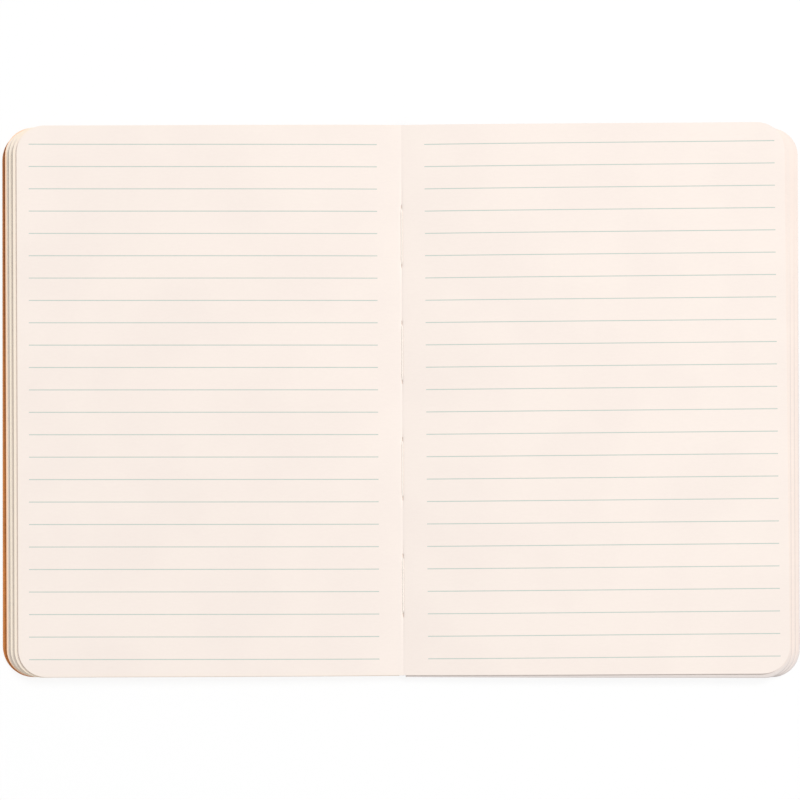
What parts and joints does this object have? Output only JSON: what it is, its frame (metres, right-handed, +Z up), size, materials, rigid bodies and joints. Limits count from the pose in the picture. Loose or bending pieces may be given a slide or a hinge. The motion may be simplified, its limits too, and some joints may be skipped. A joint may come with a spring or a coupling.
{
  "type": "open notebook",
  "caption": "Section-sewn notebook with a soft card cover and rounded corners, lying open at the middle of a sewn section.",
  "frame": {"origin": "on the table under the middle of the fold; the front cover reaches 1.4 mm farther than the back cover and the full sections on the right are sewn 0.6 mm towards the tail and turned a little, so the middle of the whole lies about 0.4 mm to the left and 0.4 mm to the tail of it", "axes": "+X from the left page to the right page, +Y from the tail of the pages to their head along the fold, +Z up out of the open pages"},
  "size_m": [0.2561, 0.1776, 0.0053],
  "materials": {
    "cover_card": "matte",
    "leaf_paper": "matte",
    "sewing_thread": "matte"
  },
  "bodies": {
    "right_block": {"right_pages": "leaf_paper", "spine": "cover_card", "stitch_1": "sewing_thread", "stitch_2": "sewing_thread", "stitch_3": "sewing_thread", "stitch_4": "sewing_thread"},
    "left_block": {"left_pages": "leaf_paper"},
    "front_panel": {"front_cover": "cover_card"},
    "back_panel": {"back_cover": "cover_card"}
  },
  "joints": [
    {"name": "close_pages", "type": "hinge", "parent": "right_block", "child": "left_block", "pos_m": [0, 0, 0.00535], "axis": [0, 1, 0], "range_deg": [0, 179.8], "deforming": ["spine"]},
    {"name": "front_cover_crease", "type": "hinge", "parent": "left_block", "child": "front_panel", "pos_m": [-0.0028, 0, 0], "axis": [0, -1, 0], "range_deg": [0, 90]},
    {"name": "back_cover_crease", "type": "hinge", "parent": "right_block", "child": "back_panel", "pos_m": [0.0028, 0, 0], "axis": [0, 1, 0], "range_deg": [0, 90]}
  ]
}
